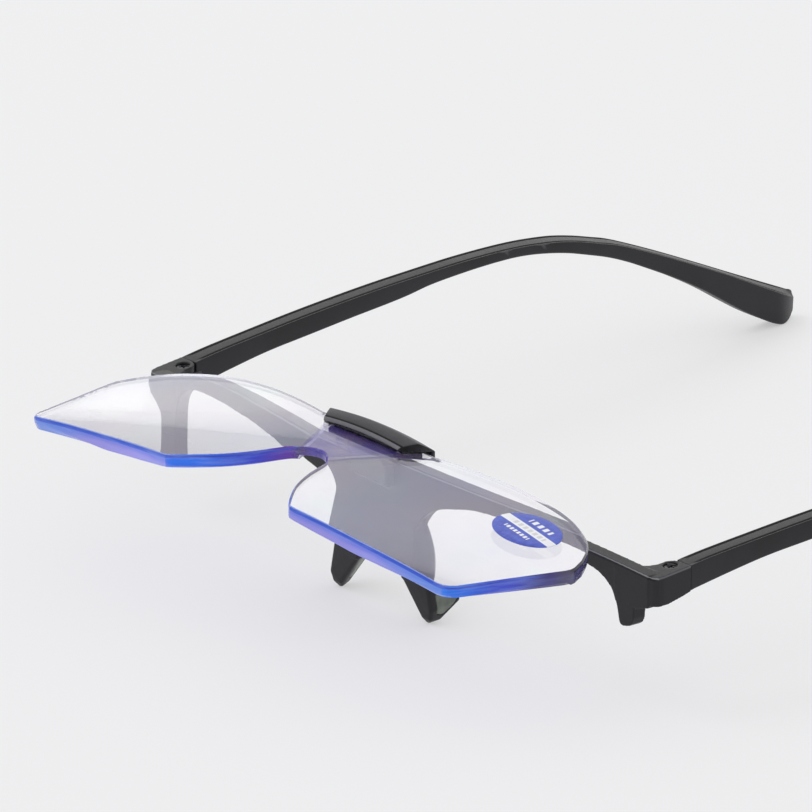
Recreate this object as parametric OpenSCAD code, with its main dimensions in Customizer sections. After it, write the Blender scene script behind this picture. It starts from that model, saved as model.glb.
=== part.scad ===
// Flip-up reading glasses: an open-bottomed plastic half frame with folding temples,
// and a one-piece magnifying shield on a hinged bar at the bridge.
// The model stands as it would on a table: on its nose arms and temple tips,
// with the shield flipped up. X = 0 is the mirror plane, the temples point to +Y.

/* [Frame front] */
// Width over the two endpieces
frame_w = 140.6; // [138:0.2:146]
// Thickness of the front, front to back
front_t = 2.7; // [2.4:0.1:3.2]
// Plan radius that the front wraps to
wrap_r = 570; // [500:10:700]
// Height of the brow line at the bridge
brow_z = 25.7; // [25.2:0.1:26]

/* [Temples] */
// Length of a temple, from the hinge split to the tip
temple_len = 143.5; // [130:0.5:150]
// Thickness of a temple, inside to outside
temple_t = 4.1; // [3.6:0.1:4.4]
// Outward splay of a temple, in degrees
temple_splay = 1.9; // [0:0.1:2]

/* [Shield] */
// Radius that the shield is curved to
shield_r = 358.3; // [330:1:400]
// Thickness of the two lobes
lobe_t = 2.5; // [2.2:0.1:2.6]
// Thickness of the web between the lobes
web_t = 1.6; // [1.4:0.1:1.7]
// Downward tilt of the shield towards its front edge, in degrees
shield_tilt = 1.5; // [0:0.1:3]

/* [Flip hinge] */
// Radius of the flip pin
pin_r = 0.6; // [0.5:0.05:0.7]
// Radius of the knuckles round the flip pin
flip_knuckle_r = 1.4; // [1.2:0.1:1.45]
// Half length of the flip pin
pin_half = 7.5; // [7:0.1:8]

/* [Temple hinges] */
// Radius of the hinge screw's shank
screw_r = 0.6; // [0.5:0.05:0.65]
// Radius of the hinge barrels
barrel_r = 2.0; // [1.8:0.05:2.05]

/* [Hidden] */

$fn = 64;
big_fn = 720;
run_gap = 0.03;     // radial clearance of a pin or screw that turns
eps = 0.01;

frame_color = "#2c2c2e";
pad_color = "#5f625e";
steel_color = "silver";
lens_color = [0.72, 0.78, 0.95, 0.5];

end_x = frame_w / 2;
front_sag = end_x * end_x / (2 * wrap_r);     // how far the bridge stands ahead of the endpieces
split_y = 7.8;                                // rear end of the endpiece
split_gap = 0.15;                             // gap between endpiece and temple
hinge_x = end_x - 3.1;
hinge_y = split_y - 2.1;
// Hinge levels, from the bottom of the endpiece up
insert_z = 19.3;
slot_z = [20.5, 22.7];
tongue_z = [20.75, 22.45];
washer_t = 0.2;
head_z = 22.95;
screw_top_z = 23.65;

// Flip axis
flip_y = -6.4;
flip_z = 28.0;
knuckle_x = 4.0;          // half width of the mount's knuckle
side_gap = 0.25;          // room for a friction washer
clamp_screw_x = 9.2;
clamp_screw_y = -5.8;
clamp_head_z = 29.0;      // top of the clamp screws' heads, under the plate
mount_screw_x = 2.6;
mount_screw_z = 22.9;

// Shield datum: the middle of its top face at the back
shield_y = -1.58;
shield_z = 31.92;

// The whole stands centred on the origin
shield_depth = 36.4;
front_edge_y = shield_y - shield_depth;
tip_y = split_y + temple_len;
centre_y = (front_edge_y + tip_y) / 2;

// ---- helpers ----

// A point on a smooth curve between b and c, with neighbours a and d
function bend(a, b, c, d, t) =
    0.5 * (2 * b + (c - a) * t + (2 * a - 5 * b + 4 * c - d) * t * t
    + (3 * b - a - 3 * c + d) * t * t * t);

// A smooth curve through all points
function curve(p, steps = 5) = concat([
    for (i = [0 : len(p) - 2], s = [0 : steps - 1])
        bend(p[max(i - 1, 0)], p[i], p[i + 1], p[min(i + 2, len(p) - 1)], s / steps)],
    [p[len(p) - 1]]);

function flip_x(p) = [for (i = [len(p) - 1 : -1 : 0]) [-p[i].x, p[i].y]];
function both_sides(p) = concat(p, flip_x(p));

module set_down() translate([0, -centre_y, 0]) children();
module left_side() mirror([1, 0, 0]) children();
module drill(x, y, r, z0, z1) translate([x, y, z0]) cylinder(r = r, h = z1 - z0);
module along_x(x0, x1, y, z, r) translate([x0, y, z]) rotate([0, 90, 0]) cylinder(r = r, h = x1 - x0);
module along_y(x, y0, y1, z, r) translate([x, y0, z]) rotate([-90, 0, 0]) cylinder(r = r, h = y1 - y0);
// A prism along X from an outline in Y and Z
module side_prism(x0, x1, p) translate([x0, 0, 0]) rotate([90, 0, 90]) linear_extrude(x1 - x0) polygon(p);

// ---- frame front ----

// Front view of the right half, from the bridge round the endpiece, tab, eye opening and arm
brow = [[0, brow_z], [16, 25.6], [30, 25.6], [45, 25.4], [54, 24.9], [end_x - 8, 24.15], [end_x, 23.3]];
tab = [[end_x, 18.1], [end_x - 5.3, 16.8], [end_x - 5.4, 14.9], [end_x - 5.8, 13.8], [end_x - 6.5, 13.3],
    [end_x - 8.0, 13.0], [end_x - 8.6, 13.3], [end_x - 8.9, 14]];
eye = [[end_x - 9, 14.6], [end_x - 9.7, 17.2], [end_x - 11.3, 19.8], [55.2, 21.8], [48, 22.6],
    [35, 22.8], [26, 22.3], [20.5, 21.2], [16, 20], [12.2, 18], [10, 15], [9.6, 11], [10.2, 7.2]];
nose = [[6.2, 6.8], [5.3, 9], [4, 11.4], [2.2, 13], [0, 13.6]];

module front_outline() polygon(both_sides(concat(curve(brow, 4), tab, curve(eye, 5), curve(nose, 4))));

// A ring that gives the front its wrap
module wrap_ring() translate([0, wrap_r - front_sag, 0]) difference() {
    cylinder(r = wrap_r, h = 40, $fn = big_fn);
    translate([0, 0, -1]) cylinder(r = wrap_r - front_t, h = 42, $fn = big_fn);
}

module front_plate() intersection() {
    translate([0, 20, 0]) rotate([90, 0, 0]) linear_extrude(40) front_outline();
    wrap_ring();
    translate([2 - end_x, -10, 0]) cube([frame_w - 4, 30, 40]);
}

// Plan of the right endpiece, with the sweep that leads round to the hinge barrel
endpiece_plan = [
    [end_x - 9.9, -1.17], [end_x - 9, -1.05], [end_x - 2.2, -0.1], [end_x - 1.1, 0.15], [end_x - 0.35, 0.8],
    [end_x - 0.1, 1.8], [end_x, split_y], [hinge_x, split_y], [hinge_x - 1.95, hinge_y],
    [end_x - 5.2, 4.6], [end_x - 5.8, 3.4], [end_x - 6.9, 2.4], [end_x - 8.6, 1.65], [end_x - 9.9, 1.4]];
endpiece_side = [[-3, 17.3], [0, 18.0], [3, 18.3], [6, 19.0], [9, 19.9], [9, 24.35], [0, 23.3], [-3, 23.3]];

module endpiece() difference() {
    intersection() {
        union() {
            linear_extrude(30) polygon(endpiece_plan);
            drill(hinge_x, hinge_y, barrel_r, 0, 30);
        }
        side_prism(end_x - 12, end_x + 2, endpiece_side);
    }
    // slot for the temple's tongue, open to the rear and the inside
    translate([hinge_x - 4, hinge_y - 1.6, slot_z[0]]) cube([5.8, 6, slot_z[1] - slot_z[0]]);
    drill(hinge_x, hinge_y, barrel_r + 0.2, slot_z[0], slot_z[1]);
    // screw head, shank and threaded insert
    drill(hinge_x, hinge_y, 1.25, head_z, 30);
    drill(hinge_x, hinge_y, screw_r + run_gap, 10, 30);
    drill(hinge_x, hinge_y, 1.1, insert_z, slot_z[0] + eps);
}

// The nose arm's outer form: a wedge that flares to the rear and closes to a tip
module nose_fin() hull() {
    translate([5, -front_sag, 15.5]) cube([5.6, front_t, 1]);
    for (p = [[6.8, -3.7, 6.9], [9.9, -3.7, 6.9], [13.5, -3.5, 2.7], [13, -3.3, 1.2], [12.1, -2.9, 0.55],
              [11.5, -3.4, 1.3], [12.6, -1.2, 0.9], [13.1, 2.4, 3.6], [11.6, 3.6, 6.8], [9.8, 1, 12.5]])
        translate(p) sphere(r = 0.55, $fn = 16);
}

// The window in a nose arm that its pad fills, as a prism along X
pad_side = [[-2.5, 2], [-0.9, 1.5], [0.9, 2.6], [2.2, 3.9], [3.1, 5.6], [3.3, 7], [2.1, 9.2], [0.8, 10.6],
    [-0.8, 10.8], [-1.2, 7.4], [-1.3, 6.3], [-2.5, 5.2]];
module pad_block() side_prism(3, 16, pad_side);

module nose_arm() difference() {
    nose_fin();
    pad_block();
}

module frame_front() color(frame_color) set_down() difference() {
    union() {
        front_plate();
        endpiece();
        left_side() endpiece();
        nose_arm();
        left_side() nose_arm();
    }
    for (side = [-1, 1]) {
        along_y(side * mount_screw_x, -8, 2, mount_screw_z, 0.65);
        along_y(side * mount_screw_x, -front_sag + front_t - 0.8, 3, mount_screw_z, 1.2);
    }
}

module nose_pad() color(pad_color) set_down() intersection() {
    nose_fin();
    pad_block();
}
module nose_pad_right() nose_pad();
module nose_pad_left() left_side() nose_pad();

// ---- temples ----

// Side view of a temple: top and bottom edges from the hinge to the rounded tip
stretch = temple_len / 143.5;
function at(y, z) = [split_y + split_gap + (temple_len - split_gap) * y / 143.5, z];
temple_top = [at(0, 24.2), at(6, 25), at(15.7, 26), at(25, 26.9), at(34, 27.6), at(43.5, 28.2), at(53, 28.6),
    at(62, 28.9), at(70, 28.9), at(76.2, 28.7), at(81, 28.3), at(85.7, 27.7), at(90.4, 26.7), at(95.1, 25.4),
    at(99.9, 23.9), at(109.3, 20), at(118.9, 15.7), at(128.5, 11.3), at(138, 7), at(141.4, 5.5)];
temple_tip = [at(142.7, 4.9), at(143.3, 4.3), at(143.5, 3.3), at(143.1, 2.2), at(142.1, 1.2), at(140.9, 0.5),
    at(139.6, 0.08), at(138.6, 0)];
temple_bottom = [at(136.8, 0.5), at(134.6, 1.5), at(129.8, 4.1), at(125, 7.1), at(120.2, 10.2), at(115.4, 13),
    at(110.7, 15.5), at(105.9, 17.9), at(101.1, 20.2), at(96.4, 22.1), at(91.7, 23.6), at(86.9, 25), at(82.2, 26),
    at(77.5, 26.7), at(72.8, 27), at(66, 26.95), at(58.8, 26.6), at(54, 26.2), at(49.4, 25.5), at(44.8, 25),
    at(35.5, 24.2), at(26.2, 23.3), at(16.9, 22.4), at(9, 21.2), at(0, 19.6)];

module temple() {
    translate([end_x - temple_t / 2, split_y, 0])
        rotate([0, 0, -temple_splay])
            translate([0, -split_y, 0]) difference() {
                side_prism(-temple_t / 2, temple_t / 2,
                    concat(curve(temple_top, 2), temple_tip, curve(temple_bottom, 2)));
                // the tip's inner side tapers
                translate([0, 0, -1]) linear_extrude(12) polygon([
                    [-temple_t / 2 - 1, tip_y - 6.5], [-temple_t / 2, tip_y - 6.5], [-1.6, tip_y - 3.6],
                    [-0.6, tip_y - 1.4], [0.4, tip_y + 1], [-temple_t / 2 - 1, tip_y + 1]]);
            }
    difference() {
        union() {
            translate([hinge_x - 0.95, hinge_y, tongue_z[0]])
                cube([2.3, 3.5, tongue_z[1] - tongue_z[0]]);
            drill(hinge_x, hinge_y, barrel_r - 0.05, tongue_z[0], tongue_z[1]);
        }
        drill(hinge_x, hinge_y, screw_r + run_gap, 10, 30);
    }
}
module temple_right() color(frame_color) set_down() temple();
module temple_left() color(frame_color) set_down() left_side() temple();

module hinge_screw() color(steel_color) set_down() difference() {
    union() {
        drill(hinge_x, hinge_y, 1.15, head_z, screw_top_z);
        drill(hinge_x, hinge_y, screw_r, insert_z, head_z);
    }
    // cross recess
    for (turn = [0, 90])
        translate([hinge_x, hinge_y, screw_top_z]) rotate([0, 0, turn + 20]) cube([1.5, 0.3, 0.6], center = true);
}
module hinge_screw_right() hinge_screw();
module hinge_screw_left() left_side() hinge_screw();

module hinge_insert() color("goldenrod") set_down() difference() {
    drill(hinge_x, hinge_y, 1.1, insert_z, slot_z[0]);
    drill(hinge_x, hinge_y, screw_r, 10, 30);
}
module hinge_insert_right() hinge_insert();
module hinge_insert_left() left_side() hinge_insert();

module hinge_washers() color("ivory") set_down()
    for (z = [slot_z[0], slot_z[1] - washer_t]) difference() {
        drill(hinge_x, hinge_y, 1.7, z, z + washer_t);
        drill(hinge_x, hinge_y, screw_r + run_gap, 10, 30);
    }
module hinge_washers_right() hinge_washers();
module hinge_washers_left() left_side() hinge_washers();

// ---- flip hinge, fixed half ----

module flip_mount() color(frame_color) set_down() difference() {
    union() {
        // foot on the front of the bridge, and the neck that carries the knuckle
        side_prism(-4.6, 4.6, [[-front_sag, 20.9], [-5.9, 20.9], [-6.4, 21.4], [-6.4, 24.9], [-front_sag, 24.9]]);
        side_prism(-knuckle_x, knuckle_x,
            [[-front_sag, 24.9], [-6.4, 24.9], [-7.1, 26.6], [flip_y - 1.2, flip_z - 0.6], [flip_y, flip_z],
             [flip_y + 1.2, flip_z + 0.6], [-4.9, 27.6], [-front_sag, 25.9]]);
        along_x(-knuckle_x, knuckle_x, flip_y, flip_z, flip_knuckle_r);
    }
    wrap_cut();
    along_x(-9, 9, flip_y, flip_z, pin_r + run_gap);
    for (side = [-1, 1]) along_y(side * mount_screw_x, -6, 0, mount_screw_z, 0.6);
}
// Everything behind the front face of the frame
module wrap_cut() translate([0, wrap_r - front_sag, 0]) cylinder(r = wrap_r, h = 40, $fn = big_fn);

module mount_screws() color(steel_color) set_down() for (side = [-1, 1]) difference() {
    union() {
        along_y(side * mount_screw_x, -6, -front_sag + front_t - 0.8, mount_screw_z, 0.6);
        along_y(side * mount_screw_x, -front_sag + front_t - 0.8, -front_sag + front_t - 0.1, mount_screw_z, 1.15);
    }
    translate([side * mount_screw_x, -front_sag + front_t - 0.1, mount_screw_z])
        cube([1.5, 0.6, 0.3], center = true);
}

module flip_pin() color(steel_color) set_down() along_x(-pin_half, pin_half, flip_y, flip_z, pin_r);

module friction_washers() color(steel_color) set_down()
    for (x = [-knuckle_x - 0.2, knuckle_x]) difference() {
        along_x(x, x + 0.2, flip_y, flip_z, 1.2);
        along_x(x - 1, x + 1, flip_y, flip_z, pin_r + run_gap);
    }

// ---- flip hinge, moving half ----

module on_shield() translate([0, shield_y, shield_z]) rotate([shield_tilt, 0, 0]) children();
// The solid under a surface that lies the given depth below the shield's top face
module under_shield(depth) translate([0, 60, -shield_r]) rotate([90, 0, 0])
    cylinder(r = shield_r - depth, h = 120, $fn = big_fn);

bar_front = 10;      // half length at the front edge
bar_rear = 13.2;     // half length at the rear
bar_plan = [[-bar_front, -8.4], [bar_front, -8.4], [bar_rear, -2.9], [bar_rear - 0.4, -2.5],
    [0.4 - bar_rear, -2.5], [-bar_rear, -2.9]];
// End view of the bar: front bevel, groove, sloping top, rear slope, rear wall
bar_side = [[-7.6, 30], [-7.6, 31.1], [-8.3, 31.5], [-8.35, 31.8], [-7.75, 32.75], [-7.55, 32.6],
    [-7.45, 32.85], [-5.4, 33.4], [-5.1, 33.35], [-2.8, 32.1], [-2.5, 31.8], [-2.5, 30]];
bar_arch_r = 96;
web_back_y = shield_y - 2.2;    // just behind the rear edge of the shield's web

module flip_bar() color(frame_color) set_down() difference() {
    intersection() {
        side_prism(-bar_rear, bar_rear, [for (p = bar_side) [p.x, p.y + (p.y > 31.4 ? 0.75 : 0)]]);
        linear_extrude(40) polygon(bar_plan);
        translate([0, 0, 34.2 - bar_arch_r]) rotate([90, 0, 0])
            cylinder(r = bar_arch_r, h = 60, center = true, $fn = big_fn);
    }
    // bed for the shield's web; the rear wall reaches down behind it
    intersection() {
        on_shield() under_shield(0);
        translate([-20, -20, 0]) cube([40, 20 + web_back_y, 40]);
    }
    for (side = [-1, 1]) drill(side * clamp_screw_x, clamp_screw_y, 0.7, 30, 32.9);
}

clamp_plate_t = 1.0;
clamp_plan = [[-9, -8.2], [9, -8.2], [11.6, web_back_y - 0.1], [-11.6, web_back_y - 0.1]];
module lens_clamp() color(frame_color) set_down() difference() {
    union() {
        intersection() {
            linear_extrude(40) polygon(clamp_plan);
            on_shield() difference() {
                under_shield(web_t);
                under_shield(web_t + clamp_plate_t);
            }
        }
        for (side = [-1, 1]) {
            inner = side * (knuckle_x + side_gap);
            outer = side * pin_half;
            along_x(min(inner, outer), max(inner, outer), flip_y, flip_z, flip_knuckle_r);
            side_prism(min(inner, outer), max(inner, outer),
                [[flip_y - 1.35, flip_z], [flip_y + 1.35, flip_z], [flip_y + 1.6, 29.6], [flip_y - 1.6, 29.6]]);
        }
    }
    along_x(-9, 9, flip_y, flip_z, pin_r);
    // room for the mount's knuckle
    along_x(-knuckle_x - side_gap, knuckle_x + side_gap, flip_y, flip_z, flip_knuckle_r + 0.15);
    for (side = [-1, 1]) drill(side * clamp_screw_x, clamp_screw_y, 0.7, 20, 40);
}

module clamp_screws() color(steel_color) set_down() for (side = [-1, 1]) difference() {
    union() {
        drill(side * clamp_screw_x, clamp_screw_y, 0.7, clamp_head_z, 32.6);
        drill(side * clamp_screw_x, clamp_screw_y, 1.15, clamp_head_z - 0.65, clamp_head_z);
    }
    translate([side * clamp_screw_x, clamp_screw_y, clamp_head_z - 0.65]) cube([1.5, 0.3, 0.6], center = true);
}

// ---- shield ----

// Plan of the right lobe in the shield's own frame: x outwards, y forward from the datum
lobe_back = [[15.3, -2.3], [20, -1.3], [26, -0.2], [34, 0.9], [42, 1.2], [49, 0.6], [54.9, -1.4],
    [57.7, -3.1], [59.7, -5], [61.7, -7.6]];
lobe_outer = [[63, -10.2], [63.2, -11.2], [63.1, -12.3], [60.7, -21.7], [58.1, -32.2], [57.4, -33.5],
    [56.5, -34.3], [55.3, -34.7]];
lobe_front = [[36, 0.4 - shield_depth], [18.6, -shield_depth], [17.2, 0.1 - shield_depth], [16.2, -35.7]];
lobe_nose = [[14, -33.6], [10.2, -29.4], [7.4, -24.6], [5.8, -20.4], [4.9, -18.4], [3.7, -17.3]];
lobe_step = [[6, -12.6], [9.9, -6.8]];
web = [[15.3, -2.3], [9.9, -6.8], [6, -12.6], [3.7, -17.3], [2.2, -16.2], [0, -15.6]];

module lobe_outline() polygon(concat(curve(lobe_back, 3), lobe_outer, lobe_front, curve(lobe_nose, 3), lobe_step));

module shield_slab(depth) difference() {
    under_shield(0);
    under_shield(depth);
}
module deep() translate([0, 0, -12]) linear_extrude(14) children();

module shield_lens() color(lens_color) set_down() difference() {
    on_shield() {
        for (side = [0, 1]) mirror([side, 0, 0]) intersection() {
            deep() lobe_outline();
            shield_slab(lobe_t);
        }
        intersection() {
            deep() polygon(both_sides(web));
            shield_slab(web_t);
        }
    }
    for (side = [-1, 1]) drill(side * clamp_screw_x, clamp_screw_y, 0.75, 20, 40);
}

// A thin printed oval on the outer top of the right lobe
sticker_x = 47.9;
sticker_y = -8.6;
sticker_half = [6.95, 5.4];     // half length and half width
sticker_t = 0.12;
sticker_plan = [for (a = [0 : 5 : 355])
    [sticker_x + sticker_half.x * cos(a), sticker_y + sticker_half.y * sin(a)]];

module power_sticker() color("royalblue") set_down() on_shield() intersection() {
    deep() polygon(sticker_plan);
    difference() {
        under_shield(-sticker_t);
        under_shield(0);
    }
}

frame_front();
nose_pad_left();
nose_pad_right();
temple_left();
temple_right();
hinge_screw_left();
hinge_screw_right();
hinge_insert_left();
hinge_insert_right();
hinge_washers_left();
hinge_washers_right();
flip_mount();
mount_screws();
flip_pin();
friction_washers();
lens_clamp();
flip_bar();
clamp_screws();
shield_lens();
power_sticker();
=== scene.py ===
import math

import bmesh
import bpy
import numpy as np
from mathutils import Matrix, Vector
from mathutils.geometry import delaunay_2d_cdt

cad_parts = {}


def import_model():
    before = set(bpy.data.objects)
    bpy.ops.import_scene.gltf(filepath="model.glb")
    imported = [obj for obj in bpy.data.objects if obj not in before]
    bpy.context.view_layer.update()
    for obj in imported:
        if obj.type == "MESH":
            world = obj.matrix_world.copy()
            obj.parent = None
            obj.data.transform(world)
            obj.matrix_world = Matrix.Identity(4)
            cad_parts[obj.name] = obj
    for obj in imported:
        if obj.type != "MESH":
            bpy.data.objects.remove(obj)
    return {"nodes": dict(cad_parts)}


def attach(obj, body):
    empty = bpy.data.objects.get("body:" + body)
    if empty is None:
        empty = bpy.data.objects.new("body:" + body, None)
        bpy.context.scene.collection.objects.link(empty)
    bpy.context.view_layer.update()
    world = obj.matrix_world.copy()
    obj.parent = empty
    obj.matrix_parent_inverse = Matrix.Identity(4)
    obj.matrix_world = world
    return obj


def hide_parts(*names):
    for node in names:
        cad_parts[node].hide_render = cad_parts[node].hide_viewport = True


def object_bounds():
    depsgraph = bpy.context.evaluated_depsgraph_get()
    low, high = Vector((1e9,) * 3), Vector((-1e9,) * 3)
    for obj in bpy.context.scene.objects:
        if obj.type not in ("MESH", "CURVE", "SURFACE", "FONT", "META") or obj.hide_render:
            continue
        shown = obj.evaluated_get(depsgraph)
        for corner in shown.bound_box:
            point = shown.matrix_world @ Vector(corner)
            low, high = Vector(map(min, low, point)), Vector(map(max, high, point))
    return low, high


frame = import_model()
CAD_LOW, CAD_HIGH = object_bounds()
MM = 0.001

# ---- the design frame: millimetres, y = 0 at the front of the endpieces ----
TIP_Y = 151.3                              # rear end of the temples in that frame
SHIFT_Y = TIP_Y - CAD_HIGH.y / MM
END_X = 70.3                               # half width over the endpieces


def world(p):
    return (p[0] * MM, (p[1] - SHIFT_Y) * MM, p[2] * MM)


def spline(points, steps=6):
    """A smooth curve through all the points."""
    pts = [np.array(p, float) for p in points]
    out = []
    for i in range(len(pts) - 1):
        a, b, c, d = pts[max(i - 1, 0)], pts[i], pts[i + 1], pts[min(i + 2, len(pts) - 1)]
        for s in range(steps):
            t = s / steps
            out.append(0.5 * (2 * b + (c - a) * t + (2 * a - 5 * b + 4 * c - d) * t * t
                              + (3 * b - a - 3 * c + d) * t ** 3))
    out.append(pts[-1])
    return [tuple(p) for p in out]


def resample(points, n):
    """n points at equal distances along a polyline."""
    p = np.array(points, float)
    run = np.concatenate([[0], np.cumsum(np.linalg.norm(np.diff(p, axis=0), axis=1))])
    at = np.linspace(0, run[-1], n)
    return np.stack([np.interp(at, run, p[:, k]) for k in range(p.shape[1])], 1)


def add_object(name, data):
    obj = bpy.data.objects.new(name, data)
    bpy.context.scene.collection.objects.link(obj)
    return obj


def make(name, verts, faces):
    mesh = bpy.data.meshes.new(name)
    mesh.from_pydata([world(v) for v in verts], [], faces)
    mesh.validate()
    mesh.shade_smooth()
    return add_object(name, mesh)


def from_bmesh(name, bm):
    mesh = bpy.data.meshes.new(name)
    bm.to_mesh(mesh)
    bm.free()
    return add_object(name, mesh)


def settle(obj):
    """Replaces the mesh with the result of its modifiers."""
    bpy.context.view_layer.update()
    done = bpy.data.meshes.new_from_object(obj.evaluated_get(bpy.context.evaluated_depsgraph_get()))
    obj.modifiers.clear()
    old, obj.data = obj.data, done
    bpy.data.meshes.remove(old)
    return obj


def weld(obj, distance=1e-6):
    bm = bmesh.new()
    bm.from_mesh(obj.data)
    bmesh.ops.remove_doubles(bm, verts=bm.verts, dist=distance)
    bmesh.ops.recalc_face_normals(bm, faces=bm.faces)
    bm.to_mesh(obj.data)
    bm.free()
    return obj


def softened(node, name, voxel, passes):
    """A fine copy of a CAD node whose edges are rounded as a mould leaves them."""
    obj = add_object(name, frame["nodes"][node].data.copy())
    obj.data.materials.clear()
    weld(obj)
    remesh = obj.modifiers.new("fine", "REMESH")
    remesh.mode = "VOXEL"
    remesh.voxel_size = voxel * MM
    smooth = obj.modifiers.new("round", "SMOOTH")
    smooth.factor, smooth.iterations = 0.5, passes
    settle(obj)
    obj.data.shade_smooth()
    return obj


def band(first, second, n):
    """Quads between two closed rings of n points that start at the given indices."""
    return [(first + i, first + (i + 1) % n, second + (i + 1) % n, second + i) for i in range(n)]


def loft(name, rings):
    """A closed skin over rings that all have the same number of points."""
    n = len(rings[0])
    verts = [p for ring in rings for p in ring]
    faces = [quad for k in range(len(rings) - 1) for quad in band(k * n, (k + 1) * n, n)]
    faces += [tuple(range(n))[::-1], tuple((len(rings) - 1) * n + i for i in range(n))]
    return weld(make(name, verts, faces))


def circle(centre, radius, steps):
    return [(centre[0] + radius * math.cos(2 * math.pi * i / steps),
             centre[1] + radius * math.sin(2 * math.pi * i / steps)) for i in range(steps)]


def without_hole(triangles, points, centre, radius):
    """The triangles whose middles lie outside a round hole."""
    return [t for t in triangles
            if (sum((points[i] for i in t), Vector((0, 0))) / 3 - Vector(centre)).length > radius]


# ---- node helpers ----

class Nodes:
    """Short forms for the shader nodes that the finishes share."""

    def __init__(self, name):
        self.mat = bpy.data.materials.new(name)
        self.mat.use_nodes = True
        self.tree = self.mat.node_tree
        self.tree.nodes.clear()
        self.place = self.add("ShaderNodeTexCoord").outputs["Object"]

    def add(self, kind, **settings):
        node = self.tree.nodes.new(kind)
        for key, value in settings.items():
            setattr(node, key, value)
        return node

    def put(self, socket, value):
        if hasattr(value, "is_output"):
            self.tree.links.new(value, socket)
        else:
            socket.default_value = value

    def math(self, operation, a, b=0.0, clamp=False):
        node = self.add("ShaderNodeMath", operation=operation, use_clamp=clamp)
        self.put(node.inputs[0], a)
        self.put(node.inputs[1], b)
        return node.outputs[0]

    def times(self, *factors):
        """The product of all the factors."""
        out = factors[0]
        for factor in factors[1:]:
            out = self.math("MULTIPLY", out, factor)
        return out

    def parts(self, vector):
        node = self.add("ShaderNodeSeparateXYZ")
        self.put(node.inputs[0], vector)
        return node.outputs

    def design(self, shift_y=SHIFT_Y):
        """|x|, y and z in millimetres in the design frame: both halves share a finish."""
        x, y, z = self.parts(self.place)
        return (self.times(self.math("ABSOLUTE", x), 1 / MM),
                self.math("ADD", self.times(y, 1 / MM), shift_y),
                self.times(z, 1 / MM))

    def noise(self, per_mm, detail=3.0, roughness=0.55, stretch=(1, 1, 1)):
        mapping = self.add("ShaderNodeMapping")
        self.put(mapping.inputs["Vector"], self.place)
        mapping.inputs["Scale"].default_value = stretch
        node = self.add("ShaderNodeTexNoise")
        self.put(node.inputs["Vector"], mapping.outputs[0])
        node.inputs["Scale"].default_value = per_mm / MM
        node.inputs["Detail"].default_value = detail
        node.inputs["Roughness"].default_value = roughness
        return node.outputs["Fac"]

    def span(self, value, low, high, to_low=0.0, to_high=1.0):
        """A soft ramp from to_low at low to to_high at high."""
        node = self.add("ShaderNodeMapRange", interpolation_type="SMOOTHSTEP")
        for key, item in (("Value", value), ("From Min", low), ("From Max", high),
                          ("To Min", to_low), ("To Max", to_high)):
            self.put(node.inputs[key], item)
        return node.outputs["Result"]

    def fade(self, value, low, high):
        """1 up to low, and 0 from high on."""
        return self.span(value, low, high, 1.0, 0.0)

    def mix(self, fac, a, b):
        node = self.add("ShaderNodeMix", data_type="RGBA", blend_type="MIX")
        self.put(node.inputs[0], fac)
        self.put(node.inputs[6], a)
        self.put(node.inputs[7], b)
        return node.outputs[2]

    def mix_shaders(self, fac, a, b):
        node = self.add("ShaderNodeMixShader")
        for socket, value in zip(node.inputs, (fac, a, b)):
            self.put(socket, value)
        return node.outputs[0]

    def bump(self, height, strength, distance_mm, normal=None):
        node = self.add("ShaderNodeBump")
        self.put(node.inputs["Height"], height)
        node.inputs["Strength"].default_value = strength
        node.inputs["Distance"].default_value = distance_mm * MM
        if normal is not None:
            self.put(node.inputs["Normal"], normal)
        return node.outputs[0]

    def principled(self, **sockets):
        """A principled shader. An underscore in a name stands for the space in the socket's name."""
        node = self.add("ShaderNodeBsdfPrincipled")
        for key, value in sockets.items():
            self.put(node.inputs[key.replace("_", " ")], value)
        return node.outputs[0]

    def out(self, shader):
        node = self.add("ShaderNodeOutputMaterial")
        self.put(node.inputs["Surface"], shader)
        return self.mat


def rgb(r, g, b):
    """An sRGB colour in 0..255 as linear RGBA."""
    def lin(c):
        c /= 255
        return c / 12.92 if c <= 0.04045 else ((c + 0.055) / 1.055) ** 2.4
    return (lin(r), lin(g), lin(b), 1.0)


# the front's top edge: level in the middle, then bowed down, and sloping up rearwards on the endpiece's side
BROW_TOP, BROW_BEND, BROW_DROP = 25.58, 38, 0.00216
END_TOP, END_RISE = 23.3, 0.117


def paint_lip_light_and_shade(n, tint, normal):
    """Painted light along the front's top edge: a painted highlight on the lip and a painted shade line under
    it.
    """
    x, y, z = n.design()
    bend = n.math("MAXIMUM", n.math("SUBTRACT", x, BROW_BEND), 0.0)
    drop = n.times(n.math("POWER", bend, 2.0), -BROW_DROP)
    below = n.math("SUBTRACT", n.math("ADD", BROW_TOP, drop), z)
    beside = n.math("SUBTRACT", n.math("ADD", END_TOP, n.times(y, END_RISE)), z)
    # painted shade: the dark line under the lip
    line = n.times(n.span(below, 0.34, 0.44), n.fade(below, 0.66, 0.78), n.fade(normal[1], -0.75, -0.5),
                   n.fade(x, 69.2, 69.8))
    # painted highlight: the lip along the top edge, and the top edge of the endpiece's side
    lip_highlight = n.times(n.span(below, 0.02, 0.08), n.fade(below, 0.28, 0.36), n.fade(normal[1], -0.45, -0.2),
                  n.fade(normal[2], 0.9, 0.97))
    side_lip_highlight = n.times(n.span(x, 69.6, 69.9), n.fade(beside, 0.26, 0.4),
                       n.span(n.math("ABSOLUTE", normal[0]), 0.3, 0.6), 0.5)
    tint = n.mix(line, tint, rgb(4, 4, 5))
    return n.mix(n.times(n.math("MAXIMUM", lip_highlight, side_lip_highlight), 0.9), tint, rgb(132, 132, 138))


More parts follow.
